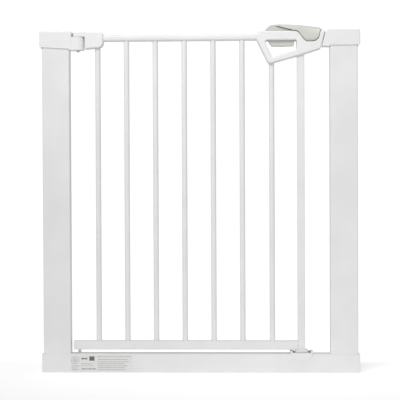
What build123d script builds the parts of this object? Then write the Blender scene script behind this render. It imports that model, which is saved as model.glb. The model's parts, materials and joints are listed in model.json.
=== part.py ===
from build123d import *
import os

# Pressure-fit safety gate, in millimetres. +X is right and -Y is the front as
# it is seen from the room, +Z is up, and the origin is on the floor under the
# middle of the base bar. Names that end in _r are radii.

# ---- overall sizes ----
gate_height = 758.0        # floor to the top of the post caps
frame_width = 706.0        # over the two base end plugs

# ---- fixed frame ----
post_width = 61.0
post_depth = 25.0
post_wall = 1.5
post_corner_r = 3.0
base_height = 42.5
base_depth = 28.0
base_wall = 1.5
base_corner_r = 3.0
plug_flange = 4.0          # end plug outside the base tube
plug_insert = 14.0         # end plug inside the base tube
plug_edge_r = 2.8          # round outer edge of the end plug
vent_hole_r = 1.2          # in the front wall of the base bar
vent_hole_x = 125.8        # from the hinge axis
vent_hole_z = 8.8

# ---- post caps ----
cap_height = 34.7
cap_top = 5.0              # plastic above the end of the post
cap_outer_wall = 5.5       # carries the upper spindle bush
cap_inner_wall = 5.0
cap_side_wall = 2.5
cap_corner_r = 4.0         # outer upper corner
hinge_cap_corner_r = 2.6   # inner upper corner
strike_cap_corner_r = 5.5  # inner upper corner
cap_edge_r = 2.5
cap_skirt_drop = 2.2       # how far the inner side hangs lower than the front
hinge_cap_slant = 4.0      # the hinge cap's lower edge falls this much towards the hinge
cap_lip_drop = 4.2         # how far the outer end hangs lower than the front
cap_lip_slope = 5.2        # height of the slant under the outer end
boss_r = 13.5              # raised disc on the front of the strike cap
boss_lift = 0.6

# ---- spindle sockets ----
spindle_bore = 10.6
spindle_bush_od = 14.0
spindle_bush_length = 16.0
upper_spindle_drop = 19.0  # below the top of the caps

# ---- leaf: rails, bars and latch stile ----
hinge_offset = 18.3        # hinge axis from the inner face of its post
stile_offset = 63.9        # latch stile axis from the inner face of its post
first_bar_offset = 43.8    # first bar from the hinge axis
last_bar_offset = 64.1     # last bar from the stile axis, in the handle's lower corner
last_bay = 65.5            # last bar from the one before it; the others are spread evenly
bar_count = 7
bar_diameter = 12.0
bar_wall = 1.0
rail_drop = 15.3           # top rail axis below the top of the caps
top_rail_height = 14.0
top_rail_depth = 18.0
top_rail_corner_r = 5.0
bottom_rail_height = 19.0
bottom_rail_depth = 16.0
bottom_rail_corner_r = 2.5
stile_size = 16.0
stile_corner_r = 2.0
leaf_wall = 1.2
leaf_gap = 8.5             # bottom rail above the base bar
rail_end_overhang = 11.8   # bottom rail past the hinge axis
stile_top_drop = 36.0      # top of the stile below the top of the caps

# ---- hinges ----
arm_r = 14.2               # lower knuckle, on the post cap
arm_height = 28.6
arm_top_drop = 12.4        # below the top of the caps
knuckle_r = 12.8           # upper knuckle, on the leaf
head_half_depth = 12.5
head_top_drop = 2.0
head_left = 15.6           # head block from the hinge axis
head_length = 40.6
head_right_drop = 12.6     # lower edge below the rail
head_left_drop = 16.6
head_edge_r = 2.2
head_rail_wall = 6.0       # plastic between the head's left face and the rail
pin_cover = 2.5            # plastic over the top hinge pin
thrust_gap = 0.1
top_pin_diameter = 6.0
top_pin_tip = 4.0          # shows under the arm
bottom_pin_diameter = 6.5
pin_bore_clearance = 0.05  # radial, running fits of the hinge pins
bush_wall = 1.6
bush_flange = 0.7
bush_flange_r = 8.5
bottom_bush_flange = 1.5
bottom_bush_flange_r = 6.0
bottom_bush_depth = 14.0

# ---- handle ----
handle_half_depth = 14.0
handle_wall = 2.4
handle_edge_r = 3.6
handle_top = 13.0          # above the rail axis
core_half_wall = 1.7       # plastic beside the bolt channel
core_left = -18.6          # left end of the core, from the stile axis
core_right = 44.5          # right end of the core, inside the end strip
rail_insert = 14.0         # top rail inside the handle
bar_socket = 12.0          # last bar above the handle's lowest corner
cover_half_depth = 13.6
cover_gap = 0.3            # parting gap all round the cover
cover_right = 44.3         # right end of the cover from the stile axis
cover_top = 25.4           # top of the cover above the rail axis
button_half_depth = 11.0
button_left = -79.6        # from the stile axis
button_gap = 0.5           # thumb button under the cover's tongue

# ---- latch bolt ----
bolt_width = 10.0
bolt_height = 16.5
bolt_top = 11.0            # above the rail axis
bolt_bar_height = 4.0
bolt_clearance = 0.3
bolt_travel = 9.5
bolt_tip_reach = 59.8      # end of the bolt from the stile axis
bolt_block_length = 29.0
bolt_bar_length = 132.4    # from the bolt's tip back to the bar's end
bolt_bevel = 3.0
pocket_depth = 2.5         # past the end of the bolt
pocket_clearance = 0.5     # between the bolt and its pocket in the strike
strike_gap = 1.0           # end face of the handle to the strike
stem_half_width = 3.0
stem_left = -69.6          # ends of the button's stem from the stile axis
stem_right = -33.6
spring_rib_right = 11.4    # right face of the rib from the stile axis
latch_spring_r = 3.0
latch_spring_wire = 0.45

# ---- trigger, pull rod and foot bolt ----
pivot_offset = -69.6       # trigger pivot from the stile axis
pivot_drop = 0.5           # below the rail axis
trigger_pin_r = 2.0
trigger_boss_r = 4.6
trigger_half_depth = 6.0
trigger_clearance = 0.3
arm_drop = 5.5             # lifting nose below the rail axis
nose_r = 1.4
lift_gap = 0.1             # nose under the rod's collar
rod_diameter = 5.0
rod_clearance = 0.3
collar_over = 3.0          # collar radius over the rod's
rod_collar_height = 3.0
foot_bolt_diameter = 8.0
foot_bolt_clearance = 0.08
foot_bolt_length = 56.2
foot_bolt_reach = 4.4      # below the top of the base bar
rod_socket = 12.0
guide_height = 12.0
rod_spring_r = 4.2
rod_spring_wire = 0.5
rod_spring_length = 45.0
spring_collar = 2.0
spring_end_gap = 0.2

# ---- foot catch ----
catch_top = 2.0
catch_cheek = 2.0
catch_half_length = 25.0   # over the horns
catch_cheek_r = 25.6       # round lower edge of each cheek
catch_cheek_low = 25.7     # lowest point of the cheeks above the floor
catch_hole_clearance = 0.5
catch_horn_height = 5.5
catch_horn_width = 5.0
pad_height = 2.4           # rubber pads each side of the foot plate
pad_length = 4.4
pad_half_depth = 10.0
foot_plate_length = 27.5
foot_plate_depth = 18.0
foot_plate_gap = 0.5
foot_plug_height = 20.0

# ---- fasteners and label ----
screw_head_r = 3.2
screw_head_height = 1.8
screw_r = 1.5
cap_screw_pitch = 28.0
cap_screw_length = 8.0
catch_screw_pitch = 20.0
catch_screw_z = 34.0
handle_screw_length = 20.0
head_screw_length = 17.0
label_thickness = 0.25
label_left = -18.1         # from the hinge axis
label_split = 39.2         # gap between the two films, from the hinge axis
label_right = 119.6        # from the hinge axis
label_gap = 0.8

# ---- places that follow ----
frame_half = frame_width / 2
post_outer = frame_half - plug_flange
post_inner = post_outer - post_width
post_mid = (post_outer + post_inner) / 2
cap_outer = post_outer + cap_outer_wall
cap_inner = post_inner - cap_inner_wall
cap_bottom = gate_height - cap_height
cap_half_depth = post_depth / 2 + cap_side_wall
hinge_x = -(post_inner - hinge_offset)
stile_x = post_inner - stile_offset
bar_pitch = (stile_x - last_bar_offset - last_bay - hinge_x - first_bar_offset) / (bar_count - 2)
rail_z = gate_height - rail_drop
rail_bottom = rail_z - top_rail_height / 2
rail_top = rail_z + top_rail_height / 2
leaf_bottom = base_height + leaf_gap
stile_top = gate_height - stile_top_drop
arm_top = gate_height - arm_top_drop
knuckle_bottom = arm_top + bush_flange
head_top = gate_height - head_top_drop
upper_spindle_z = gate_height - upper_spindle_drop
lower_spindle_z = base_height / 2
bolt_top_z = rail_z + bolt_top
bolt_bottom_z = bolt_top_z - bolt_height
bar_bottom_z = bolt_top_z - bolt_bar_height
bolt_tip_x = stile_x + bolt_tip_reach
channel_half = bolt_width / 2 + bolt_clearance
core_half = channel_half + core_half_wall
core_top = rail_z + handle_top + cover_gap
pivot_x = stile_x + pivot_offset
pivot_z = rail_z - pivot_drop
nose_z = rail_z - arm_drop
collar_z = nose_z + nose_r + lift_gap
rod_r = rod_diameter / 2
collar_r = rod_r + collar_over
rod_top = collar_z + rod_collar_height
guide_bottom = stile_top - guide_height
foot_bolt_bottom = base_height - foot_bolt_reach
foot_bolt_top = foot_bolt_bottom + foot_bolt_length
foot_hole_r = foot_bolt_diameter / 2 + foot_bolt_clearance
top_bush_r = top_pin_diameter / 2 + pin_bore_clearance + bush_wall
bottom_bush_r = bottom_pin_diameter / 2 + pin_bore_clearance + bush_wall

# Outlines of the handle as (x from the stile axis, z from the rail axis, corner radius)
handle_outline = [
    (-98.7, -2.9, 6.0),
    (-98.7, 3.6, 6.0),
    (-92.6, handle_top, 6.0),
    (-7.0, handle_top, 10.0),
    (11.0, -10.2, 11.0),
    (38.0, -10.2, 15.0),
    (43.3, 15.4, 4.2),
    (54.2, 13.0, 4.2),
    (44.0, -26.8, 4.6),
    (0.0, -40.7, 60.0),
    (-70.8, -60.0, 8.0),
]
loop_outline = [
    (-80.5, -7.8, 5.0),
    (-9.0, -7.8, 4.0),
    (-9.0, -27.3, 4.5),
    (-62.5, -45.8, 6.0),
]
# Slope between the cover's tongue and the thumb button, from the tip to the step
parting_line = [(-60.6, 24.6), (-48.0, 22.4), (-32.0, 17.9), (-19.0, 14.6)]


def block(x0, x1, y0, y1, z0, z1):
    return Pos((x0 + x1) / 2, (y0 + y1) / 2, (z0 + z1) / 2) * Box(x1 - x0, y1 - y0, z1 - z0)


def upright(x, z0, z1, radius, y=0.0):
    return Pos(x, y, (z0 + z1) / 2) * Cylinder(radius, z1 - z0)


def across(x, z, y0, y1, radius):
    return Pos(x, (y0 + y1) / 2, z) * Rot(90, 0, 0) * Cylinder(radius, y1 - y0)


def sideways(x0, x1, z, radius):
    return Pos((x0 + x1) / 2, 0, z) * Rot(0, 90, 0) * Cylinder(radius, x1 - x0)


def outline_face(corners, grow=0.0):
    """Face of a closed outline of (x, z, corner radius), grown outwards by grow."""
    points = [(x, z) for x, z, r in corners]
    face = make_face(FilletPolyline(*points, radius=[r for x, z, r in corners], close=True))
    return offset(face, grow) if grow else face


def prism(face, half_depth):
    """Solid of a face drawn in x and z, carried from the front to the back."""
    return extrude(Plane.XZ.offset(-half_depth) * face, amount=2 * half_depth)


def from_stile(corners):
    return [(stile_x + x, rail_z + z, r) for x, z, r in corners]


def tube_z(width, depth, corner_r, wall, z0, z1):
    outer = RectangleRounded(width, depth, corner_r)
    inner = RectangleRounded(width - 2 * wall, depth - 2 * wall, max(corner_r - wall, 0.3))
    return Pos(0, 0, z0) * extrude(outer - inner, amount=z1 - z0)


def section_x(depth, height, corner_r, x0, x1, z_mid):
    """Solid bar along X with a rounded section, centred on z_mid."""
    face = Plane(origin=(x0, 0, z_mid), z_dir=(1, 0, 0), x_dir=(0, 1, 0)) * RectangleRounded(
        depth, height, corner_r
    )
    return extrude(face, amount=x1 - x0)


def tube_x(depth, height, corner_r, wall, x0, x1, z_mid):
    inner_r = max(corner_r - wall, 0.3)
    return section_x(depth, height, corner_r, x0, x1, z_mid) - section_x(
        depth - 2 * wall, height - 2 * wall, inner_r, x0, x1, z_mid
    )


def front_back_edges(solid):
    groups = solid.edges().group_by(Axis.Y)
    return groups[0] + groups[-1]


def rear_screw(x, z, y_face, length):
    """Countersunk screw that goes in from the rear, flush with y_face."""
    neck = y_face - screw_head_height
    cone = Rot(-90, 0, 0) * Cone(screw_r, screw_head_r, screw_head_height)
    head = Pos(x, y_face - screw_head_height / 2, z) * cone
    return head + across(x, z, y_face - length, neck, screw_r)


def rear_screws(places, y_face, length):
    return [rear_screw(x, z, y_face, length) for x, z in places]


def less(solid, others):
    for other in others:
        solid -= other
    return solid


# ---- frame ----

def post(side):
    tube = tube_z(post_width, post_depth, post_corner_r, post_wall, base_height, gate_height - cap_top)
    tube = Pos(side * post_mid, 0, 0) * tube
    socket = sideways(post_mid, post_outer, upper_spindle_z, spindle_bush_od / 2)
    if side < 0:
        socket = mirror(socket, Plane.YZ)
    for x, z in cap_screw_places(side):
        socket = socket + across(x, z, 0, post_depth, screw_r)
    return tube - socket


def base_bar():
    tube = tube_x(
        base_depth, base_height, base_corner_r, base_wall, -post_outer, post_outer, base_height / 2
    )
    tube -= upright(hinge_x, base_height / 2, base_height, bottom_bush_r)
    tube -= upright(stile_x, base_height / 2, base_height, foot_hole_r + 2.0)
    tube -= across(hinge_x + vent_hole_x, vent_hole_z, -base_depth, 0, vent_hole_r)
    for x, z in catch_screw_places():
        tube -= across(x, z, 0, base_depth, screw_r)
    return tube


def base_plug(side):
    z_mid = base_height / 2
    flange = section_x(base_depth, base_height, base_corner_r, post_outer, frame_half, z_mid)
    flange = fillet(flange.faces().sort_by(Axis.X)[-1].edges(), plug_edge_r)
    inner_r = max(base_corner_r - base_wall, 0.3)
    insert = section_x(
        base_depth - 2 * base_wall, base_height - 2 * base_wall, inner_r,
        post_outer - plug_insert, post_outer, z_mid,
    )
    plug = flange + insert - sideways(
        post_outer - plug_insert, frame_half, lower_spindle_z, spindle_bush_od / 2
    )
    return plug if side > 0 else mirror(plug, Plane.YZ)


def cap_screw_places(side):
    return [(side * (post_mid + k * cap_screw_pitch / 2), upper_spindle_z) for k in (-1, 1)]


def cap_shell(inner_top_x, inner_bottom_x, inner_corner_r, slant):
    """Right-hand cap with its inner face running between the two x values."""
    lip_bottom = cap_bottom - cap_lip_drop
    inner_bottom = cap_bottom - slant
    outline = [
        (cap_outer, gate_height, cap_corner_r),
        (cap_outer, lip_bottom + cap_lip_slope, 0),
        (post_outer + 1, lip_bottom, 0),
        (post_outer, lip_bottom, 0),
        (post_outer, cap_bottom, 0),
        (post_inner, inner_bottom, 0),
        (post_inner, inner_bottom - cap_skirt_drop, 0),
        (inner_bottom_x, inner_bottom - cap_skirt_drop, 0),
        (inner_top_x, gate_height, inner_corner_r),
    ]
    body = prism(outline_face(outline), cap_half_depth)
    upper_edges = front_back_edges(body).filter_by_position(Axis.Z, cap_bottom + 8, gate_height)
    body = fillet(upper_edges, cap_edge_r)
    post_room = Pos(post_mid, 0, 0) * extrude(
        RectangleRounded(post_width, post_depth, post_corner_r), amount=gate_height - cap_top
    )
    body -= post_room
    return body - sideways(post_outer - 1, cap_outer, upper_spindle_z, spindle_bush_od / 2)


def hinge_post_cap():
    cap = mirror(cap_shell(cap_inner, cap_inner, hinge_cap_corner_r, hinge_cap_slant), Plane.YZ)
    arm_bottom = arm_top - arm_height
    arm = block(-post_inner, hinge_x, -arm_r, arm_r, arm_bottom, arm_top)
    arm += upright(hinge_x, arm_bottom, arm_top, arm_r)
    cap += arm
    cap -= upright(hinge_x, arm_bottom, arm_top, top_bush_r)
    return less(cap, rear_screws(cap_screw_places(-1), cap_half_depth, cap_screw_length))


def strike_face_x(z):
    """Slanted face of the strike, parallel to the end face of the handle."""
    top_x, top_z, _ = handle_outline[7]
    low_x, low_z, _ = handle_outline[8]
    slope = (top_x - low_x) / (top_z - low_z)
    return stile_x + low_x + (z - rail_z - low_z) * slope + strike_gap


def strike_post_cap():
    cap = cap_shell(strike_face_x(gate_height), strike_face_x(cap_bottom), strike_cap_corner_r, 0.0)
    pocket_half = bolt_width / 2 + pocket_clearance
    pocket = block(
        stile_x, bolt_tip_x + pocket_depth, -pocket_half, pocket_half,
        bolt_bottom_z - pocket_clearance, bolt_top_z + pocket_clearance,
    )
    boss = across(post_inner + 6, upper_spindle_z, -cap_half_depth - boss_lift, -cap_half_depth, boss_r)
    screws = rear_screws(cap_screw_places(1), cap_half_depth, cap_screw_length)
    return less(cap - pocket + boss, screws)


def spindle_bushes():
    bushes = []
    for end_x, z in ((cap_outer, upper_spindle_z), (frame_half, lower_spindle_z)):
        bush = sideways(end_x - spindle_bush_length, end_x, z, spindle_bush_od / 2)
        bush -= sideways(end_x - spindle_bush_length, end_x, z, spindle_bore / 2)
        bushes += [bush, mirror(bush, Plane.YZ)]
    return bushes


def post_cap_screws():
    places = cap_screw_places(-1) + cap_screw_places(1)
    return rear_screws(places, cap_half_depth, cap_screw_length)


def hinge_bush_top():
    bush = upright(hinge_x, arm_top - arm_height, arm_top, top_bush_r)
    bush += upright(hinge_x, arm_top, knuckle_bottom - thrust_gap, bush_flange_r)
    return bush - upright(
        hinge_x, arm_top - arm_height, head_top, top_pin_diameter / 2 + pin_bore_clearance
    )


def hinge_bush_bottom():
    bush = upright(hinge_x, base_height - bottom_bush_depth, base_height, bottom_bush_r)
    bush += upright(hinge_x, base_height, base_height + bottom_bush_flange, bottom_bush_flange_r)
    bore = bottom_pin_diameter / 2 + pin_bore_clearance
    return bush - upright(
        hinge_x, base_height - bottom_bush_depth, base_height + bottom_bush_flange, bore
    )


def catch_screw_places():
    return [(stile_x + k * catch_screw_pitch / 2, catch_screw_z) for k in (-1, 1)]


def foot_catch():
    half_depth = base_depth / 2 + catch_cheek
    top_z = base_height + catch_top
    left = stile_x - catch_half_length
    right = stile_x + catch_half_length
    saddle = block(left, right, -half_depth, half_depth, base_height, top_z)
    disc = across(stile_x, catch_cheek_low + catch_cheek_r, -half_depth, half_depth, catch_cheek_r)
    cheeks = disc & block(left, right, -half_depth, half_depth, 0, top_z)
    cheeks = fillet(cheeks.edges().filter_by(GeomType.CIRCLE), catch_cheek * 0.6)
    room = block(left, right, -base_depth / 2, base_depth / 2, 0, base_height)
    horns = Part()
    for side in (-1, 1):
        near = stile_x + side * (catch_half_length - catch_horn_width)
        far = stile_x + side * catch_half_length
        horns += block(
            min(near, far), max(near, far), -base_depth / 2, base_depth / 2,
            base_height, base_height + catch_horn_height,
        )
    catch = saddle + cheeks + horns - room
    catch -= upright(stile_x, base_height, top_z, foot_hole_r + catch_hole_clearance)
    return less(catch, catch_screws())


def catch_screws():
    return rear_screws(catch_screw_places(), base_depth / 2 + catch_cheek, cap_screw_length)


def catch_pads():
    """Two rubber pads that stand on the saddle against the inner faces of the horns."""
    low = base_height + catch_top
    horn = catch_half_length - catch_horn_width
    pad = block(
        stile_x + horn - pad_length, stile_x + horn, -pad_half_depth, pad_half_depth,
        low, low + pad_height,
    )
    return [pad, Pos(pad_length - 2 * horn, 0, 0) * pad]


def rating_label():
    left = hinge_x + label_left
    split = hinge_x + label_split
    right = hinge_x + label_right
    y_front = -base_depth / 2 - label_thickness
    low = base_corner_r + 0.5
    high = base_height - base_corner_r
    return [
        block(left, split - label_gap / 2, y_front, -base_depth / 2, low, high),
        block(split + label_gap / 2, right, y_front, -base_depth / 2, low, high),
    ]


# ---- leaf ----

def bar_x(number):
    if number == bar_count - 1:
        return stile_x - last_bar_offset
    return hinge_x + first_bar_offset + bar_pitch * number


def bar(number):
    top = rail_bottom
    if number == bar_count - 1:
        top = last_bar_top()
    tube = upright(bar_x(number), leaf_bottom + bottom_rail_height, top, bar_diameter / 2)
    return tube - upright(
        bar_x(number), leaf_bottom + bottom_rail_height, top, bar_diameter / 2 - bar_wall
    )


def last_bar_top():
    corner_x, corner_z, _ = handle_outline[-1]
    return rail_z + corner_z + bar_socket


def top_rail():
    left = hinge_x + head_left + head_rail_wall
    right = stile_x + handle_outline[0][0] + rail_insert
    return tube_x(
        top_rail_depth, top_rail_height, top_rail_corner_r, leaf_wall, left, right, rail_z
    )


def bottom_rail():
    left = hinge_x - rail_end_overhang
    right = stile_x - stile_size / 2
    z_mid = leaf_bottom + bottom_rail_height / 2
    rail = tube_x(
        bottom_rail_depth, bottom_rail_height, bottom_rail_corner_r, leaf_wall, left, right, z_mid
    )
    return rail - upright(hinge_x, leaf_bottom - 1, leaf_bottom + 3, bottom_pin_diameter / 2)


def bottom_rail_plug():
    left = hinge_x - rail_end_overhang
    z_mid = leaf_bottom + bottom_rail_height / 2
    inner_r = max(bottom_rail_corner_r - leaf_wall, 0.3)
    plug = section_x(
        bottom_rail_depth - 2 * leaf_wall, bottom_rail_height - 2 * leaf_wall, inner_r,
        left, left + 2 * rail_end_overhang, z_mid,
    )
    cover = section_x(
        bottom_rail_depth, bottom_rail_height, bottom_rail_corner_r, left - 1.2, left, z_mid
    )
    bore_top = leaf_bottom + bottom_rail_height - 4.0
    return plug + cover - upright(hinge_x, leaf_bottom, bore_top, bottom_pin_diameter / 2)


def bottom_hinge_pin():
    low = base_height - bottom_bush_depth + 2.0
    pin = upright(hinge_x, low, leaf_bottom + bottom_rail_height - 4.0, bottom_pin_diameter / 2)
    return chamfer(pin.edges().sort_by(Axis.Z)[0], 0.8)


def top_hinge_pin():
    low = arm_top - arm_height - top_pin_tip
    pin = upright(hinge_x, low, head_top - pin_cover, top_pin_diameter / 2)
    return chamfer(pin.edges().sort_by(Axis.Z)[0], 0.8)


def latch_stile():
    tube = tube_z(stile_size, stile_size, stile_corner_r, leaf_wall, leaf_bottom, stile_top)
    return Pos(stile_x, 0, 0) * tube


def hinge_head():
    left = hinge_x + head_left
    right = left + head_length
    outline = [
        (left, head_top, 0),
        (right, head_top, 6.0),
        (right, rail_bottom - head_right_drop, 10.0),
        (left, rail_bottom - head_left_drop, 1.5),
    ]
    body = prism(outline_face(outline), head_half_depth)
    body = fillet(front_back_edges(body).filter_by_position(Axis.X, left + 0.5, right + 1), head_edge_r)
    knuckle = upright(hinge_x, knuckle_bottom, head_top, knuckle_r)
    knuckle += block(hinge_x, left + 3, -head_half_depth, head_half_depth, knuckle_bottom, head_top)
    knuckle &= block(
        hinge_x - knuckle_r, left + 3, -head_half_depth, head_half_depth, knuckle_bottom, head_top
    )
    head = body + knuckle
    head -= section_x(
        top_rail_depth, top_rail_height, top_rail_corner_r, left + head_rail_wall, right + 1, rail_z
    )
    head -= upright(bar_x(0), leaf_bottom, rail_bottom, bar_diameter / 2)
    return head - upright(hinge_x, knuckle_bottom, head_top - pin_cover, top_pin_diameter / 2)


def hinge_screw_places():
    left = hinge_x + head_left
    return [(left + 11.3, rail_bottom - 7.5), (left + 1.3, rail_top + 0.4)]


def halves(solid):
    """Front and rear shells of a solid that is split at y = 0."""
    size = 3 * gate_height
    front = solid & block(-size, size, -size, 0, -size, size)
    rear = solid & block(-size, size, 0, size, -size, size)
    return front, rear


def handle_screw_places():
    return [
        (stile_x - 80.2, rail_z - 24.5),
        (stile_x - 35.6, rail_z - 43.4),
        (stile_x + 29.4, rail_z - 21.2),
    ]


def handle_channels():
    """Every passage that the moving pieces and the fixed inserts need."""
    slide_left = bolt_tip_x - bolt_bar_length - bolt_travel - 1.0
    block_left = stile_x + spring_rib_right
    strip = block(
        slide_left, bolt_tip_x, -channel_half, channel_half,
        bar_bottom_z - bolt_clearance, bolt_top_z + bolt_clearance,
    )
    bolt = block(
        block_left, bolt_tip_x, -channel_half, channel_half,
        bolt_bottom_z - bolt_clearance, bolt_top_z + bolt_clearance,
    )
    slot_half = stem_half_width + 0.2
    slot = block(
        slide_left + 1, stile_x + stem_right + 1, -slot_half, slot_half, bolt_top_z, core_top + 1
    )
    trigger_half = trigger_half_depth + trigger_clearance
    pocket = block(
        pivot_x - 6.5, stile_x - 11.6, -trigger_half, trigger_half,
        rail_z - 8.0, bar_bottom_z - 2.1,
    )
    arm_half = fork_half() + trigger_clearance
    arm = block(
        stile_x - 14.0, stile_x + 5.0, -arm_half, arm_half, nose_z - 2.9, nose_z + 8.5
    )
    rod = upright(stile_x, stile_top, bar_bottom_z, collar_r + 0.5)
    return [strip, bolt, slot, pocket, arm, rod]


def handle_block():
    outer = outline_face(from_stile(handle_outline))
    loop = outline_face(from_stile(loop_outline))
    body = prism(outer, handle_half_depth) - prism(loop, handle_half_depth)
    body = fillet(front_back_edges(body), handle_edge_r)
    scoop_bottom = rail_z + handle_outline[4][1]
    core = block(
        stile_x + core_left, stile_x + core_right, -core_half, core_half,
        rail_z + loop_outline[0][1], rail_z + handle_top,
    )
    core += block(
        stile_x + stile_size / 2, stile_x + core_right, -core_half, core_half,
        scoop_bottom - handle_wall, rail_z + handle_top,
    )
    return body + core, core


def handle_cavity(core):
    """Hollow inside the shells, less the blocks that hold the inserts."""
    depth = handle_half_depth - handle_wall
    cavity = prism(outline_face(from_stile(handle_outline), -handle_wall), depth)
    cavity -= prism(outline_face(from_stile(loop_outline), handle_wall), depth + 1)
    cavity -= core
    stile_half = stile_size / 2 + handle_wall
    far = handle_half_depth + 1
    cavity -= block(stile_x - stile_half, stile_x + stile_half, -far, far, 0, stile_top + 2)
    socket_half = bar_diameter / 2 + handle_wall
    last_x = bar_x(bar_count - 1)
    cavity -= block(last_x - socket_half, last_x + socket_half, -far, far, 0, last_bar_top() + 2)
    rail_end = stile_x + handle_outline[0][0] + rail_insert
    cavity -= block(rail_end - 2 * rail_insert, rail_end + 2, -far, far, rail_bottom - 2, gate_height)
    shelf_bottom = bar_bottom_z - 2.1
    cavity -= block(rail_end, stile_x + core_left, -far, far, shelf_bottom, gate_height)
    cavity -= across(pivot_x, pivot_z, -far, far, trigger_boss_r + 1.0)
    for x, z in handle_screw_places():
        cavity -= across(x, z, -far, far, screw_r + handle_wall)
    return cavity


def handle_shells():
    body, core = handle_block()
    body -= handle_cavity(core)
    body = less(body, handle_channels() + handle_screws())
    rail_end = stile_x + handle_outline[0][0] + rail_insert
    body -= section_x(
        top_rail_depth, top_rail_height, top_rail_corner_r, rail_end - 2 * rail_insert, rail_end, rail_z
    )
    body -= upright(bar_x(bar_count - 1), leaf_bottom, last_bar_top(), bar_diameter / 2)
    body -= Pos(stile_x, 0, leaf_bottom) * extrude(
        RectangleRounded(stile_size, stile_size, stile_corner_r), amount=stile_top - leaf_bottom
    )
    pin_half = handle_half_depth - 1.4
    body -= across(pivot_x, pivot_z, -pin_half, pin_half, trigger_pin_r)
    return halves(body)


def handle_cover():
    tongue = [(x, z, 30.0 if 0 < k < 3 else 0) for k, (x, z) in enumerate(parting_line)]
    tip_x = parting_line[0][0]
    outline = tongue + [
        (core_left - 0.4, handle_outline[4][1] - 1, 0),
        (cover_right, handle_outline[4][1] - 1, 0),
        (cover_right, 14.6, 0.8),
        (41.8, 18.6, 3.0),
        (8.0, 22.9, 150.0),
        (-30.0, cover_top, 100.0),
        (tip_x, cover_top, 0),
    ]
    cover = prism(outline_face(from_stile(outline)), cover_half_depth)
    plan_left = stile_x + tip_x
    plan_right = stile_x + cover_right + cover_half_depth
    plan = Pos((plan_left + plan_right) / 2, 0) * RectangleRounded(
        plan_right - plan_left, 2 * cover_half_depth, cover_half_depth * 0.9
    )
    cover &= extrude(plan, amount=gate_height * 1.2)
    cover -= prism(outline_face(from_stile(handle_outline), cover_gap), handle_half_depth)
    cover -= block(
        stile_x + core_left - 1, stile_x + cover_right + 1, -core_half - cover_gap, core_half + cover_gap,
        0, core_top + cover_gap,
    )
    return cover


def thumb_button():
    slope = [(x, z - button_gap, 30.0 if 0 < k < 3 else 0) for k, (x, z) in enumerate(parting_line)]
    tip_x, tip_z, _ = slope[0]
    foot_z = handle_top + cover_gap
    outline = [
        (button_left, foot_z, 0),
        (button_left + 6.6, foot_z + 7.0, 12.0),
        (button_left + 14.4, cover_top, 6.0),
        (tip_x - 0.8, cover_top, 0),
        (tip_x - 0.8, tip_z, 0),
    ]
    outline += slope[1:3] + [(core_left - 1.6, slope[3][1] - 0.3, 0), (core_left - 1.6, foot_z, 0)]
    body = prism(outline_face(from_stile(outline)), button_half_depth)
    plan_left = stile_x + button_left
    plan = Pos((plan_left + stile_x) / 2, 0) * RectangleRounded(
        stile_x - plan_left, 2 * button_half_depth, button_half_depth * 0.6
    )
    body &= extrude(plan, amount=gate_height * 1.2)
    stem = block(
        stile_x + stem_left, stile_x + stem_right, -stem_half_width, stem_half_width,
        bolt_top_z, rail_z + foot_z + 1,
    )
    return body + stem


def handle_screws():
    return rear_screws(handle_screw_places(), handle_half_depth, handle_screw_length)


def hinge_head_shells():
    return halves(less(hinge_head(), hinge_head_screws()))


def hinge_head_screws():
    return rear_screws(hinge_screw_places(), head_half_depth, head_screw_length)


def trigger_pin():
    half = handle_half_depth - 1.4
    return across(pivot_x, pivot_z, -half, half, trigger_pin_r)


def foot_bush():
    plate_bottom = base_height + catch_top + foot_plate_gap
    half_depth = foot_plate_depth / 2
    plate = block(
        stile_x - foot_plate_length / 2, stile_x + foot_plate_length / 2,
        -half_depth, half_depth, plate_bottom, leaf_bottom,
    )
    plate = fillet(plate.edges().filter_by(Axis.Z), 2.5)
    inside = stile_size - 2 * leaf_wall
    corner_r = max(stile_corner_r - leaf_wall, 0.3)
    plug = Pos(stile_x, 0, leaf_bottom) * extrude(
        RectangleRounded(inside, inside, corner_r), amount=foot_plug_height
    )
    return plate + plug - upright(stile_x, 0, leaf_bottom + foot_plug_height, foot_hole_r)


def rod_guide():
    inside = stile_size - 2 * leaf_wall
    corner_r = max(stile_corner_r - leaf_wall, 0.3)
    guide = Pos(stile_x, 0, guide_bottom) * extrude(
        RectangleRounded(inside, inside, corner_r), amount=guide_height
    )
    return guide - upright(stile_x, guide_bottom, stile_top, rod_r + 0.1)


# ---- latch slide ----

def latch_bolt():
    half = bolt_width / 2
    bolt = block(
        bolt_tip_x - bolt_block_length, bolt_tip_x, -half, half, bolt_bottom_z, bolt_top_z
    )
    tip_edges = bolt.edges().filter_by(Axis.Z).group_by(Axis.X)[-1]
    bolt = chamfer(tip_edges, bolt_bevel)
    strip = block(
        bolt_tip_x - bolt_bar_length, bolt_tip_x - bolt_block_length, -half, half,
        bar_bottom_z, bolt_top_z,
    )
    return bolt + strip


def coil(radius, wire, length, turns):
    """Round-wire spring that stands on the origin along +Z."""
    path = Helix(pitch=(length - 2 * wire) / turns, height=length - 2 * wire, radius=radius)
    section = Plane(origin=path @ 0, z_dir=path % 0) * Circle(wire)
    return Pos(0, 0, wire) * sweep(section, path=path)


def latch_spring():
    left = stile_x + spring_rib_right + spring_end_gap
    right = bolt_tip_x - bolt_block_length - spring_end_gap
    spring = coil(latch_spring_r, latch_spring_wire, right - left, 9)
    z_mid = (bolt_bottom_z + bar_bottom_z) / 2
    return Pos(left, 0, z_mid) * Rot(0, 90, 0) * spring


# ---- trigger ----

def fork_half():
    return rod_r + rod_clearance + 2.2


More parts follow.
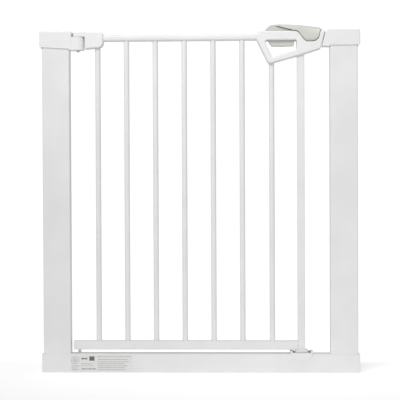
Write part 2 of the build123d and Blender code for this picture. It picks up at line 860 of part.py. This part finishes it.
def trigger():
    outline = [
        (pivot_offset - 4.0, -4.1, 0),
        (pivot_offset - 2.8, -8.0, 0),
        (-64.4, -20.4, 3.0),
        (-40.0, -21.2, 60.0),
        (-14.6, -19.8, 3.0),
        (-13.3, -4.1, 0),
    ]
    finger = prism(outline_face(from_stile(outline)), trigger_half_depth)
    finger = fillet(
        front_back_edges(finger).filter_by_position(Axis.Z, rail_z - 25, rail_z - 11), 2.0
    )
    web = block(
        pivot_x - 4.0, pivot_x + 8.0, -trigger_half_depth, trigger_half_depth,
        rail_z - 4.5, rail_z - pivot_drop,
    )
    boss = across(pivot_x, pivot_z, -trigger_half_depth, trigger_half_depth, trigger_boss_r)
    half = fork_half()
    arm = block(
        stile_x - 16.0, stile_x + 3.8, -half, half, nose_z - 2.6, nose_z + 0.2
    )
    nose = across(stile_x, nose_z, -half, half, nose_r)
    slot_half = rod_r + rod_clearance
    slot = block(stile_x - slot_half - 0.3, stile_x + 4.0, -slot_half, slot_half, 0, gate_height)
    bore = across(pivot_x, pivot_z, -trigger_half_depth, trigger_half_depth, trigger_pin_r + 0.05)
    return finger + web + boss + arm + nose - slot - bore


# ---- foot bolt ----

def pull_rod():
    low = foot_bolt_top - rod_socket
    spring_seat = guide_bottom - rod_spring_length
    rod = upright(stile_x, low, rod_top, rod_r)
    rod += upright(stile_x, collar_z, rod_top, collar_r)
    return rod + upright(stile_x, spring_seat - spring_collar, spring_seat, collar_r)


def foot_bolt_pin():
    pin = upright(stile_x, foot_bolt_bottom, foot_bolt_top, foot_bolt_diameter / 2)
    pin = chamfer(pin.edges().sort_by(Axis.Z)[0], 1.0)
    return pin - upright(stile_x, foot_bolt_top - rod_socket, foot_bolt_top, rod_r)


def rod_spring():
    length = rod_spring_length - 2 * spring_end_gap
    spring = coil(rod_spring_r, rod_spring_wire, length, 9)
    return Pos(stile_x, 0, guide_bottom - rod_spring_length + spring_end_gap) * spring


def write(name, piece):
    """Write one node; a list of solids becomes one group."""
    shape = Compound([s for p in piece for s in p.solids()]) if isinstance(piece, list) else piece
    export_step(shape, f"parts/{name}.step")


os.makedirs("parts", exist_ok=True)
head_front, head_rear = hinge_head_shells()
shell_front, shell_rear = handle_shells()

nodes = {
    "left_post": post(-1),
    "right_post": post(1),
    "base_bar": base_bar(),
    "base_plug_left": base_plug(-1),
    "base_plug_right": base_plug(1),
    "hinge_post_cap": hinge_post_cap(),
    "strike_post_cap": strike_post_cap(),
    "spindle_bushes": spindle_bushes(),
    "post_cap_screws": post_cap_screws(),
    "hinge_bush_top": hinge_bush_top(),
    "hinge_bush_bottom": hinge_bush_bottom(),
    "foot_catch": foot_catch(),
    "catch_screws": catch_screws(),
    "catch_pads": catch_pads(),
    "rating_label": rating_label(),
    "top_rail": top_rail(),
    "bottom_rail": bottom_rail(),
    "bottom_rail_plug": bottom_rail_plug(),
    "latch_stile": latch_stile(),
    "hinge_head_front": head_front,
    "hinge_head_rear": head_rear,
    "hinge_head_screws": hinge_head_screws(),
    "top_hinge_pin": top_hinge_pin(),
    "bottom_hinge_pin": bottom_hinge_pin(),
    "handle_front_shell": shell_front,
    "handle_rear_shell": shell_rear,
    "handle_cover": handle_cover(),
    "handle_screws": handle_screws(),
    "trigger_pin": trigger_pin(),
    "foot_bush": foot_bush(),
    "rod_guide": rod_guide(),
    "thumb_button": thumb_button(),
    "latch_bolt": latch_bolt(),
    "latch_spring": latch_spring(),
    "trigger": trigger(),
    "pull_rod": pull_rod(),
    "foot_bolt_pin": foot_bolt_pin(),
    "rod_spring": rod_spring(),
}
for number in range(bar_count):
    nodes[f"bar_{number + 1}"] = bar(number)

for name, piece in nodes.items():
    write(name, piece)
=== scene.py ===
# %% [markdown]
# # A pressure-fit safety gate
# The gate is a welded steel frame with a barred leaf that swings on its left post. The packed
# CAD model is the frame: it holds every piece that moves, fits or carries load. This lesson
# loads it, gives each piece the finish of the real material, and adds the few surfaces whose
# softness or fine detail is easier to work out with numpy than in a solid modeller.

import bpy
import json
import math
import numpy as np
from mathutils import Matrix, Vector
from mathutils.bvhtree import BVHTree


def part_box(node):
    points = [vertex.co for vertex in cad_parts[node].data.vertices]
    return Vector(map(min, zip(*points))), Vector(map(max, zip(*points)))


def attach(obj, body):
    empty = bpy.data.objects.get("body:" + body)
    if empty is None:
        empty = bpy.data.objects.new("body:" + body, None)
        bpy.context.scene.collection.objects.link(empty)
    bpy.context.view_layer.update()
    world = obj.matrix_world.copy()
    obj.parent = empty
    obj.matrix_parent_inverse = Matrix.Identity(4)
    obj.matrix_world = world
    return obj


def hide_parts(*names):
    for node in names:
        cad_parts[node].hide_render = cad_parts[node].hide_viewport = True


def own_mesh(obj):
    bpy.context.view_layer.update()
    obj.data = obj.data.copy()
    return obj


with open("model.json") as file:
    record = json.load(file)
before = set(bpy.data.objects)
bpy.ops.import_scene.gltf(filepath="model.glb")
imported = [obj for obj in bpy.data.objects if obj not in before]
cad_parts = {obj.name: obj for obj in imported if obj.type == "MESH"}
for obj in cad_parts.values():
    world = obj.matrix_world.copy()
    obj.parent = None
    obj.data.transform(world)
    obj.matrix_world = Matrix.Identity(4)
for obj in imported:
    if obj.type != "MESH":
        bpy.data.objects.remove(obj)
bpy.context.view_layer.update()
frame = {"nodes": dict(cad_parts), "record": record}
nodes = frame["nodes"]
MM = 0.001

# %% [markdown]
# ## Mesh helpers
# Every new piece below is a grid of points: rows run one way over the surface and columns the
# other. One helper turns such a grid into a mesh. A closed direction joins its last row or
# column to its first, and an end can be closed with a fan of triangles round one point.

# %% Grid to mesh
def grid_faces(rows, cols, close_rows=False, close_cols=False):
    """Four corner numbers of each cell: (i, j), (i, j + 1), (i + 1, j + 1), (i + 1, j)."""
    i = np.arange(rows if close_rows else rows - 1)
    j = np.arange(cols if close_cols else cols - 1)
    i, j = np.meshgrid(i, j, indexing="ij")
    i2, j2 = (i + 1) % rows, (j + 1) % cols
    corners = [i * cols + j, i * cols + j2, i2 * cols + j2, i2 * cols + j]
    return np.stack([c.ravel() for c in corners], axis=1)


def piece_from(name, points, faces, body, slot, smooth=True):
    """New piece from an (n, 3) array of points in metres and a list of face arrays."""
    mesh = bpy.data.meshes.new(name)
    lists = [face for block in faces for face in np.asarray(block).tolist()]
    mesh.from_pydata(np.asarray(points, float).tolist(), [], lists)
    mesh.update()
    if smooth:
        mesh.shade_smooth()
    piece = bpy.data.objects.new(name, mesh)
    bpy.context.scene.collection.objects.link(piece)
    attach(piece, body)
    print(name, "points", len(points), "faces", len(lists))
    return piece


def fan(first, count, centre, flip=False):
    """Triangles from a ring of points to one centre point."""
    k = np.arange(count)
    ring = [first + k, first + (k + 1) % count, np.full(count, centre)]
    if flip:
        ring = [ring[1], ring[0], ring[2]]
    return np.stack(ring, axis=1)


def modifier(piece, kind, **settings):
    """Adds a modifier with these settings."""
    added = piece.modifiers.new(kind.title(), kind)
    for key, value in settings.items():
        setattr(added, key, value)

# %% [markdown]
# ## Measuring the frame
# A piece that stands for a CAD node has to follow its silhouette. A ray shot along Z meets the
# node's top or its underside, so a row of rays along X reads off both edges of its outline.

# %% Rays against a CAD node
def tree_of(node):
    mesh = nodes[node].data
    corners = [v.co.copy() for v in mesh.vertices]
    return BVHTree.FromPolygons(corners, [tuple(p.vertices) for p in mesh.polygons])


def height_along(tree, xs, y, start, direction):
    """Height at which a ray along Z from start meets the node, at each x in xs."""
    hits = [tree.ray_cast(Vector((x, y, start)), Vector((0, 0, direction)))[0] for x in xs]
    return np.array([hit.z if hit else np.nan for hit in hits])

# %% [markdown]
# ## Materials
# Each finish starts from its real material. One function turns the sRGB hex value of a colour
# chip into the linear numbers that the shader works in, one adds a node to a tree, and three more
# write down what nearly every finish needs: noise of a real size, a drift between two chips and
# a bump of a real depth.

# %% Colour and node helpers
def linear(hex_code):
    """sRGB hex to linear: below 0.04045 divide by 12.92, above it ((c + 0.055) / 1.055) ** 2.4."""
    c = np.array([int(hex_code[k : k + 2], 16) for k in (1, 3, 5)]) / 255
    c = np.where(c <= 0.04045, c / 12.92, ((c + 0.055) / 1.055) ** 2.4)
    return (*c.tolist(), 1.0)


def add(tree, kind, inputs=None, **settings):
    """Adds a node: settings are its own values, inputs its sockets' values or links."""
    node = tree.nodes.new(kind)
    for key, value in settings.items():
        setattr(node, key, value)
    for key, value in (inputs or {}).items():
        if isinstance(value, bpy.types.NodeSocket):
            tree.links.new(value, node.inputs[key])
        else:
            node.inputs[key].default_value = value
    return node


def new_material(name, **values):
    """A material with one Principled shader that has these values on its own sockets."""
    material = bpy.data.materials.new(name)
    material.use_nodes = True
    tree = material.node_tree
    shader = tree.nodes["Principled BSDF"]
    for key, value in values.items():
        shader.inputs[key.replace("_", " ")].default_value = value
    return material, tree, shader


def object_coordinates(tree):
    return add(tree, "ShaderNodeTexCoord").outputs["Object"]


def raise_by(tree, shader, height, strength, depth_mm):
    """Bump on the shader: the pattern stands depth_mm high at full strength."""
    bump = add(
        tree, "ShaderNodeBump", {"Height": height, "Strength": strength, "Distance": depth_mm * MM}
    )
    tree.links.new(bump.outputs["Normal"], shader.inputs["Normal"])


def paint(tree, shader, amount, dark, light, start=0.0, end=1.0):
    """Base colour that goes from the dark chip at start to the light chip at end."""
    ramp = add(tree, "ShaderNodeValToRGB", {"Fac": amount})
    for element, position, chip in zip(ramp.color_ramp.elements, (start, end), (dark, light)):
        element.position = position
        element.color = linear(chip)
    tree.links.new(ramp.outputs["Color"], shader.inputs["Base Color"])


def noise(tree, place, size_mm, detail):
    """Noise whose waves are size_mm apart on the real piece."""
    return add(tree, "ShaderNodeTexNoise", {"Vector": place, "Scale": 1 / (size_mm * MM), "Detail": detail})

# %% [markdown]
# ### Powder-coated steel
# The tubes are sprayed with white polyester powder and baked. The powder melts into a film with
# waves about 1.5 mm apart, the orange peel, and a much finer grain. The film is a dielectric with
# an IOR near 1.5 and a soft gloss.

# %% Powder coat
def powder_coat():
    material, tree, shader = new_material("powder_coated_steel_white", Roughness=0.36, IOR=1.5)
    place = object_coordinates(tree)
    peel = noise(tree, place, 1.5, 1.0)
    grain = noise(tree, place, 0.35, 2.0)
    cloud = noise(tree, place, 90, 2.0)
    paint(tree, shader, cloud.outputs["Fac"], "#E4E4E5", "#E9E9EA", 0.35, 0.65)
    gloss = add(
        tree, "ShaderNodeMapRange", {"Value": cloud.outputs["Fac"], "To Min": 0.33, "To Max": 0.42}
    )
    tree.links.new(gloss.outputs["Result"], shader.inputs["Roughness"])
    fine = add(
        tree, "ShaderNodeBump",
        {"Height": grain.outputs["Fac"], "Strength": 0.12, "Distance": 0.04 * MM},
    )
    wave_inputs = {"Height": peel.outputs["Fac"], "Normal": fine.outputs["Normal"]}
    wave = add(tree, "ShaderNodeBump", {**wave_inputs, "Strength": 0.25, "Distance": 0.06 * MM})
    tree.links.new(wave.outputs["Normal"], shader.inputs["Normal"])
    return material

# %% [markdown]
# ### Moulded plastics
# Caps, hinge head and handle are injection moulded. Their mould was spark eroded, which prints
# an even matt grain about 0.15 mm across; it is drawn 0.4 mm across so that it still shows from
# near by. The same recipe gives the white nylon and the three grey-greens, which differ in
# colour, gloss and depth of grain.

# %% Moulded plastic
def moulded(name, light, dark, roughness, grain_depth, grain_size=0.4):
    """Satin moulding whose colour drifts between two chips, with a spark-eroded grain."""
    material, tree, shader = new_material(name, Roughness=roughness, IOR=1.49)
    place = object_coordinates(tree)
    drift = noise(tree, place, 35, 3.0)
    paint(tree, shader, drift.outputs["Fac"], dark, light, 0.3, 0.7)
    cells = add(tree, "ShaderNodeTexVoronoi", {"Vector": place, "Scale": 1 / (grain_size * MM)})
    rough = add(
        tree, "ShaderNodeMapRange",
        {"Value": cells.outputs["Distance"], "To Min": roughness - 0.05, "To Max": roughness + 0.06},
    )
    tree.links.new(rough.outputs["Result"], shader.inputs["Roughness"])
    raise_by(tree, shader, cells.outputs["Distance"], 0.3, grain_depth)
    return material

# %% [markdown]
# ### Metals
# Screws, pins and rods are steel with bright zinc plate, which is a little blue with faint
# straw-coloured clouds. Spring wire is drawn, so its marks run along it; here they are an even
# noise 0.5 mm across.

# %% Zinc plate and spring wire
def zinc_plate():
    material, tree, shader = new_material("zinc_plated_steel", Metallic=1.0, Roughness=0.3)
    place = object_coordinates(tree)
    cloud = noise(tree, place, 3, 3.0)
    paint(tree, shader, cloud.outputs["Fac"], "#BFC4CB", "#D2CFC6", 0.35, 0.7)
    rough = add(tree, "ShaderNodeMapRange", {"Value": cloud.outputs["Fac"], "To Min": 0.22, "To Max": 0.38})
    tree.links.new(rough.outputs["Result"], shader.inputs["Roughness"])
    return material


def spring_wire():
    material, tree, shader = new_material("drawn_spring_steel", Metallic=1.0, Roughness=0.35)
    place = object_coordinates(tree)
    marks = noise(tree, place, 0.5, 2.0)
    paint(tree, shader, marks.outputs["Fac"], "#77787B", "#A3A4A6")
    raise_by(tree, shader, marks.outputs["Fac"], 0.2, 0.02)
    return material

# %% [markdown]
# ### Rubber and film
# The pads are moulded rubber, dull and grey. The label is printed polyester film: glossy, with
# a faint wave where it was rolled on.

# %% Rubber and film
def rubber():
    material, tree, shader = new_material("moulded_rubber", Roughness=0.85, IOR=1.52)
    place = object_coordinates(tree)
    bloom = noise(tree, place, 2, 3.0)
    paint(tree, shader, bloom.outputs["Fac"], "#84847F", "#94948F")
    raise_by(tree, shader, bloom.outputs["Fac"], 0.3, 0.05)
    return material


def printed_film(name, light, dark, roughness):
    material, tree, shader = new_material(name, Roughness=roughness, IOR=1.6)
    place = object_coordinates(tree)
    wave = noise(tree, place, 12, 2.0)
    paint(tree, shader, wave.outputs["Fac"], dark, light)
    raise_by(tree, shader, wave.outputs["Fac"], 0.15, 0.1)
    return material

# %% [markdown]
# ### Handing out the finishes
# The record names a material slot for each CAD node. Each slot gets one finish here, and each
# node takes the finish of its slot. The grey-greens are the cover, the thumb button and the
# trigger.

# %% One finish for each slot
finishes = {
    "powder_coated_steel": powder_coat(),
    "white_moulding": moulded("moulded_nylon_white", "#EBEAEA", "#E7E6E6", 0.42, 0.03),
    "light_sage_moulding": moulded("moulded_abs_light_sage", "#D0D2C9", "#CACCC3", 0.40, 0.03),
    "deep_sage_moulding": moulded("moulded_abs_deep_sage", "#CACDC6", "#C3C6BF", 0.42, 0.04),
    "trigger_moulding": moulded("moulded_acetal_sage", "#CDCEC7", "#C7C8C1", 0.36, 0.02),
    "acetal": moulded("acetal_natural", "#E6E5DF", "#DFDED8", 0.30, 0.01),
    "zinc_plated_steel": zinc_plate(),
    "spring_steel": spring_wire(),
    "damper_rubber": rubber(),
    "label_film": printed_film("polyester_film_white", "#E2E2E1", "#DCDCDB", 0.28),
}
slot_of_node = {s["node"]: s["material_slot"] for s in frame["record"]["subparts"]}
for name, node_object in nodes.items():
    node_object.data.materials.clear()
    node_object.data.materials.append(finishes[slot_of_node[name]])
print("finishes", len(finishes))

# %% [markdown]
# ## The handle's soft cover
# The grey-green cover is a crowned shell. Its outline comes from rays against the CAD cover: at
# each x they give the height of its lower edge and of its crown. Between them the section is
# half a superellipse, y = h |cos t|^(2/n), z = low + (high - low) |sin t|^(2/n), whose exponent n
# of 3.2 gives nearly flat sides and a full crown. The half depth h shrinks towards both ends.

# %% Cover skin
skin_stations = 120           # sections along the cover
skin_points = 41              # points on each section
skin_exponent = 3.2
skin_half_depth = 13.5 * MM
skin_wall = 1.8 * MM
left_taper, left_pinch = 0.14, 0.75       # share of the length, and of the depth lost at its end
right_taper, right_pinch = 0.05, 0.06
left_inset, right_inset = 0.3 * MM, 0.02 * MM
seam_cover = 0.22 * MM        # how far the skin reaches down into the parting gap
section_edge_y = -9 * MM      # where a ray meets the lower edge
section_crown_y = -3 * MM     # where a ray meets the crown
ray_margin = 10 * MM


def cover_skin():
    """Superellipse sections along X over t from 0 to pi, thickened inwards to a wall."""
    low_corner, high_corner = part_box("handle_cover")
    x0, x1 = low_corner[0] + left_inset, high_corner[0] - right_inset
    tree = tree_of("handle_cover")
    xs = x0 + (x1 - x0) * (1 - np.cos(np.linspace(0, np.pi, skin_stations))) / 2
    lows = height_along(tree, xs, section_edge_y, low_corner[2] - ray_margin, 1)
    highs = height_along(tree, xs, section_crown_y, high_corner[2] + ray_margin, -1)
    good = ~(np.isnan(lows) | np.isnan(highs)) & (highs - lows > 0.2 * MM)
    lows, highs = (np.interp(xs, xs[good], v[good]) for v in (lows - seam_cover, highs))
    run = (xs - x0) / (x1 - x0)
    half = skin_half_depth * (1 - (1 - np.clip(run / left_taper, 0, 1)) ** 2.4 * left_pinch)
    half *= 1 - (1 - np.clip((1 - run) / right_taper, 0, 1)) ** 2 * right_pinch
    t = np.linspace(0, np.pi, skin_points)
    side = np.sign(np.cos(t)) * np.abs(np.cos(t)) ** (2 / skin_exponent)
    rise = np.abs(np.sin(t)) ** (2 / skin_exponent)
    x = np.repeat(xs[:, None], skin_points, axis=1)
    y = -half[:, None] * side[None, :]
    z = lows[:, None] + (highs - lows)[:, None] * rise[None, :]
    points = np.stack([x, y, z], axis=2).reshape(-1, 3)
    ends = np.stack([points[:skin_points].mean(axis=0), points[-skin_points:].mean(axis=0)])
    count = len(points)
    faces = [
        grid_faces(skin_stations, skin_points),
        fan(0, skin_points, count, flip=True), fan(count - skin_points, skin_points, count + 1),
    ]
    skin = piece_from("cover_skin", np.vstack([points, ends]), faces, "leaf", "light_sage_moulding")
    modifier(skin, "SOLIDIFY", thickness=skin_wall, offset=-1.0)
    skin.data.materials.append(finishes["light_sage_moulding"])
    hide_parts("handle_cover")


cover_skin()

# %% [markdown]
# ## Weld beads
# Each bar is welded to the rails and each post to the base bar. A bead is a concave fillet: at
# turn t from 0 to 90 degrees it lies w (1 - sin t) outside the tube and w (1 - cos t) above the
# seam. Its leg w swells and shrinks a little along the seam, as a hand-laid bead does.

# %% Beads along a closed path
bead_root = 0.05 * MM         # how far a bead's edge sinks into the metal


def bead(path, outward, leg, seam, up):
    """Fillet along a closed path of (x, y) with its outward normals; seam is the height under it."""
    count = len(path)
    along = np.linspace(0, 2 * np.pi, count, endpoint=False)
    legs = leg * (1 + 0.07 * np.sin(11 * along) + 0.05 * np.sin(5 * along + 1))
    steps = 7
    t = np.linspace(0, np.pi / 2, steps)[:, None]
    out = legs * (1 - np.sin(t)) - bead_root
    xy = path[None] + outward[None] * out[:, :, None]
    z = seam(xy[:, :, 1]) + up * (legs * (1 - np.cos(t)) - bead_root)
    points = np.concatenate([xy, z[:, :, None]], axis=2).reshape(-1, 3)
    faces = grid_faces(steps, count, close_cols=True)
    return points, faces if up > 0 else faces[:, ::-1]


def circle(x, radius, count=48):
    turn = np.linspace(0, 2 * np.pi, count, endpoint=False)
    outward = np.stack([np.cos(turn), np.sin(turn)], axis=1)
    return outward * radius + (x, 0), outward


def rounded_rectangle(x, half_x, half_y, corner, count=160):
    """Path whose outward direction turns evenly at the corners and stays put on the sides."""
    turn = np.linspace(0, 2 * np.pi, count, endpoint=False) + 0.001
    outward = np.stack([np.cos(turn), np.sin(turn)], axis=1)
    straight = np.abs(outward) ** 0.25 * np.sign(outward)
    reach = np.maximum(np.abs(straight[:, 0]), np.abs(straight[:, 1]))[:, None]
    core = straight / reach * (half_x - corner, half_y - corner)
    return core + outward * corner + (x, 0), outward


def rail_height(level, half_depth, corner, up):
    """Height of a rail's face at y: flat in the middle, then round at its corner."""
    def height(y):
        past = np.clip(np.abs(y) - (half_depth - corner), 0, corner)
        return level - up * (corner - np.sqrt(corner**2 - past**2))
    return height


def join(parts):
    """One set of points and faces from several."""
    starts = np.cumsum([0] + [len(p) for p, _ in parts[:-1]])
    return np.vstack([p for p, _ in parts]), [f + s for (_, f), s in zip(parts, starts)]


rail_half_depth, rail_corner = 8 * MM, 2.5 * MM
top_half_depth, top_corner = 9 * MM, 5 * MM
base_half_depth, base_corner = 14 * MM, 3 * MM
post_half_depth, post_corner = 12.5 * MM, 3 * MM
lower_leg, upper_leg, post_leg = 1.3 * MM, 1.1 * MM, 0.9 * MM
bead_wall = 0.3 * MM
bars = 7
leaf_beads = []
lower_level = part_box("bottom_rail")[1][2]
upper_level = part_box("top_rail")[0][2]
for number in range(1, bars + 1):
    low_corner, high_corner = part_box(f"bar_{number}")
    bar_x, bar_r = (low_corner[0] + high_corner[0]) / 2, (high_corner[0] - low_corner[0]) / 2
    lower = rail_height(lower_level, rail_half_depth, rail_corner, 1)
    leaf_beads.append(bead(*circle(bar_x, bar_r), lower_leg, lower, 1))
    if 1 < number < bars:      # the outer two end in the hinge head and the handle
        upper = rail_height(upper_level, top_half_depth, top_corner, -1)
        leaf_beads.append(bead(*circle(bar_x, bar_r), upper_leg, upper, -1))
welds = piece_from("leaf_welds", *join(leaf_beads), "leaf", "powder_coated_steel")
frame_beads = []
for post in ("left_post", "right_post"):
    low_corner, high_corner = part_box(post)
    post_x, post_half = (low_corner[0] + high_corner[0]) / 2, (high_corner[0] - low_corner[0]) / 2
    path = rounded_rectangle(post_x, post_half, post_half_depth, post_corner)
    seam = rail_height(low_corner[2], base_half_depth, base_corner, 1)
    frame_beads.append(bead(*path, post_leg, seam, 1))
post_welds = piece_from("post_welds", *join(frame_beads), "frame", "powder_coated_steel")
for piece in (welds, post_welds):
    modifier(piece, "SOLIDIFY", thickness=bead_wall, offset=-1.0)
    piece.data.materials.append(finishes["powder_coated_steel"])

# %% [markdown]
# ## Springs
# Two compression springs are hidden in the gate: one pushes the latch bolt out and one pushes the
# foot bolt down. Each stands on a fixed seat in the leaf and gets shorter as its bolt moves. The
# wire follows a helix (R cos a, R sin a, s) and its section is a circle in the plane of the
# helix's radius and axis. The spring rides the leaf and is drawn at the length of the CAD
# node that it replaces.

# %% Spring coils
def spring_coil(name, node, axis, fixed_end, wire_r, turns=9, ring_points=10):
    """Helix tube: centre plus wire_r (cos v radial + sin v axial), v once round the wire."""
    low_corner, high_corner = (np.array(corner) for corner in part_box(node))
    length = high_corner[axis] - low_corner[axis]
    middle = (low_corner + high_corner) / 2
    across_axis = (axis + 1) % 3
    coil_r = (high_corner[across_axis] - low_corner[across_axis]) / 2 - wire_r
    along = np.linspace(0, 1, turns * 32 + 1)
    angle = 2 * np.pi * turns * along
    v = np.linspace(0, 2 * np.pi, ring_points, endpoint=False)
    reach = coil_r + wire_r * np.cos(v)[None, :]
    height = (wire_r + (length - 2 * wire_r) * along)[:, None] + wire_r * np.sin(v)[None, :]
    local = np.zeros((len(along), ring_points, 3))
    local[:, :, (axis + 1) % 3] = reach * np.cos(angle)[:, None]
    local[:, :, (axis + 2) % 3] = reach * np.sin(angle)[:, None]
    local[:, :, axis] = height - length / 2
    points = (local + middle).reshape(-1, 3)
    ends = np.stack([points[:ring_points].mean(axis=0), points[-ring_points:].mean(axis=0)])
    last = len(points) - ring_points
    faces = [
        grid_faces(len(along), ring_points, close_cols=True)[:, ::-1],
        fan(0, ring_points, len(points), flip=True), fan(last, ring_points, len(points) + 1),
    ]
    coil = piece_from(name, np.vstack([points, ends]), faces, "leaf", "spring_steel")
    coil.data.materials.append(finishes["spring_steel"])
    anchor = middle.copy()
    anchor[axis] = (low_corner, high_corner)[fixed_end][axis]
    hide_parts(node)
    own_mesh(coil)


spring_coil("latch_coil", "latch_spring", 0, 0, 0.45 * MM)
spring_coil("rod_coil", "rod_spring", 2, 1, 0.5 * MM)

# %% [markdown]
# ## Print on the label
# The film carries a round icon, one plain dark block and rows of grey dashes that stand for
# lines of small type. Every mark is a flat patch of ink that stands proud of the film. The lengths
# of the dashes come from a seeded generator, so they are the same in every run.

# %% Ink
ink_film = 0.04 * MM
ink_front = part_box("rating_label")[0][1] - ink_film
label_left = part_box("rating_label")[0][0]


def patches(x0, x1, z0, z1):
    """Rectangles of ink from arrays of their edges, in mm from the label's left end and the floor."""
    x = label_left + np.stack([x0, x1, x1, x0], axis=1) * MM
    z = np.stack([z0, z0, z1, z1], axis=1) * MM
    points = np.stack([x, np.full_like(x, ink_front), z], axis=2).reshape(-1, 3)
    return points, np.arange(len(points)).reshape(-1, 4)


def type_rows(rng, left, right, heights, tall):
    """Rows of dashes with an even gap, cut off near the right margin."""
    shortest, longest, gap, dashes, ragged = 2, 9, 0.9, 40, 0.25
    rows = []
    for z in heights:
        lengths = rng.uniform(shortest, longest, dashes)
        starts = left + np.cumsum(np.concatenate([[0], lengths[:-1] + gap]))
        end = right - rng.uniform(0, ragged) * (right - left)
        keep = starts < end - 1
        x0 = starts[keep]
        x1 = np.minimum(x0 + lengths[keep], end)
        rows.append(patches(x0, x1, np.full_like(x0, z - tall / 2), np.full_like(x0, z + tall / 2)))
    return rows


def ring(x, z, outer, inner, count=64):
    """Flat ring: points (x + r cos a, z + r sin a) for r from inner to outer."""
    turn = np.linspace(0, 2 * np.pi, count, endpoint=False)
    radius = np.array([inner, outer])[:, None]
    px = label_left + (x + radius * np.cos(turn)) * MM
    pz = (z + radius * np.sin(turn)) * MM
    points = np.stack([px, np.full_like(px, ink_front), pz], axis=2).reshape(-1, 3)
    return points, grid_faces(2, count, close_cols=True)


# all places below are in mm: along from the label's left end, and up from the floor
rng = np.random.default_rng(11)
grey_marks = [ring(9.0, 27.5, 8.0, 6.9), ring(9.0, 27.5, 3.4, 1.6)]
grey_marks += type_rows(rng, 2.0, 18.0, [15.4, 11.0, 7.4], 1.5)
grey_marks += type_rows(rng, 23.5, 53.5, [20.6, 16.4], 1.2)
grey_marks += type_rows(rng, 60.0, 134.0, [36.2, 30.0, 24.6, 20.4, 16.0, 11.6, 7.0], 1.6)
dark_marks = type_rows(rng, 23.5, 39.0, [31.6], 3.0)
dark_marks += type_rows(rng, 23.5, 56.0, [8.8], 1.7)
dark_marks.append(patches(*[np.array([v]) for v in (41.0, 52.5, 27.0, 36.6)]))


def printing_ink(name, light, dark):
    """Flat ink laid in dots: a fine Voronoi pattern thins it towards the lighter colour."""
    material, tree, shader = new_material(name, Roughness=0.5, IOR=1.5)
    dots = add(tree, "ShaderNodeTexVoronoi", {"Vector": object_coordinates(tree), "Scale": 1 / (0.5 * MM)})
    paint(tree, shader, dots.outputs["Distance"], dark, light)
    return material


inks = {
    "print_grey": (grey_marks, printing_ink("printing_ink_grey", "#BDBDB9", "#A9A9A5")),
    "print_dark": (dark_marks, printing_ink("printing_ink_dark", "#77776F", "#55554F")),
}
for name, (marks, ink) in inks.items():
    print_piece = piece_from(name, *join(marks), "frame", "label_film", smooth=False)
    modifier(print_piece, "SOLIDIFY", thickness=ink_film, offset=-1.0)
    print_piece.data.materials.append(ink)

# %% [markdown]
# ## Camera
# The gate is seen almost square on, from a little to its right and just above its middle. A long
# lens from 2.5 m keeps the posts upright.

# %% Camera
def aim(thing, target):
    thing.rotation_euler = (Vector(target) - thing.location).to_track_quat("-Z", "Y").to_euler()


distance = 2.5
turn = math.radians(2.0)
roll = math.radians(0.25)
view_width = 0.889            # what the frame holds across, at the gate
camera_data = bpy.data.cameras.new("camera")
camera_data.sensor_width = 36.0
camera_data.lens = camera_data.sensor_width * distance / view_width
camera = bpy.data.objects.new("camera", camera_data)
bpy.context.scene.collection.objects.link(camera)
camera_height = 0.416
middle_of_view = (0.0003, 0, 0.383)
camera.location = (distance * math.sin(turn), -distance * math.cos(turn), camera_height)
aim(camera, middle_of_view)
camera.rotation_euler.rotate_axis("Z", -roll)
bpy.context.scene.camera = camera
print("lens", round(camera_data.lens, 1))

# %% [markdown]
# ## Light
# White things on white need light that wraps round them but still has a direction. A bright
# studio surrounds the gate. A large softbox hangs high in front of it, a little to the left and
# with a narrow beam, so that the top is lighter than the foot. A weaker one fills from the right.
# The floor is plain and pale. It glows faintly so that it stays nearly as light as the studio
# behind it, and it ends a little way behind the gate.

# %% Studio
world = bpy.data.worlds.new("studio")
bpy.context.scene.world = world
world.use_nodes = True
sky = world.node_tree
sky.nodes.clear()
seen = add(sky, "ShaderNodeBackground", {"Color": (1, 1, 1, 1), "Strength": 1.05})
lit = add(sky, "ShaderNodeBackground", {"Color": (1, 1, 1, 1), "Strength": 0.52})
rays = add(sky, "ShaderNodeLightPath")
both = add(
    sky, "ShaderNodeMixShader",
    {0: rays.outputs["Is Camera Ray"], 1: lit.outputs[0], 2: seen.outputs[0]},
)
add(sky, "ShaderNodeOutputWorld", {"Surface": both.outputs[0]})


def softbox(name, place, target, size, power, spread=math.pi):
    light = bpy.data.lights.new(name, "AREA")
    light.shape = "RECTANGLE"
    light.size, light.size_y = size
    light.energy = power
    light.spread = spread
    lamp = bpy.data.objects.new(name, light)
    lamp.location = place
    aim(lamp, target)
    bpy.context.scene.collection.objects.link(lamp)


softbox("key", (-0.45, -1.3, 2.0), (0, 0, 0.92), (1.4, 1.0), 4.2, math.radians(60))
softbox("fill", (1.8, -1.8, 0.9), (0, 0, 0.4), (1.2, 1.4), 2.5)
bpy.context.scene.view_settings.view_transform = "Standard"

floor_side, floor_front, floor_back = 0.9, 1.1, 0.14
floor_points = np.array([
    (-floor_side, -floor_front, 0), (floor_side, -floor_front, 0),
    (floor_side, floor_back, 0), (-floor_side, floor_back, 0),
])
floor_mesh = bpy.data.meshes.new("floor")
floor_mesh.from_pydata(floor_points.tolist(), [], [(0, 1, 2, 3)])
floor = bpy.data.objects.new("floor", floor_mesh)
bpy.context.scene.collection.objects.link(floor)
floor_material, floor_tree, floor_shader = new_material("studio_floor", Roughness=0.9)
floor_shader.inputs["Base Color"].default_value = linear("#FBFBFB")
floor_shader.inputs["Emission Color"].default_value = (1, 1, 1, 1)
floor_shader.inputs["Emission Strength"].default_value = 0.32
floor_mesh.materials.append(floor_material)
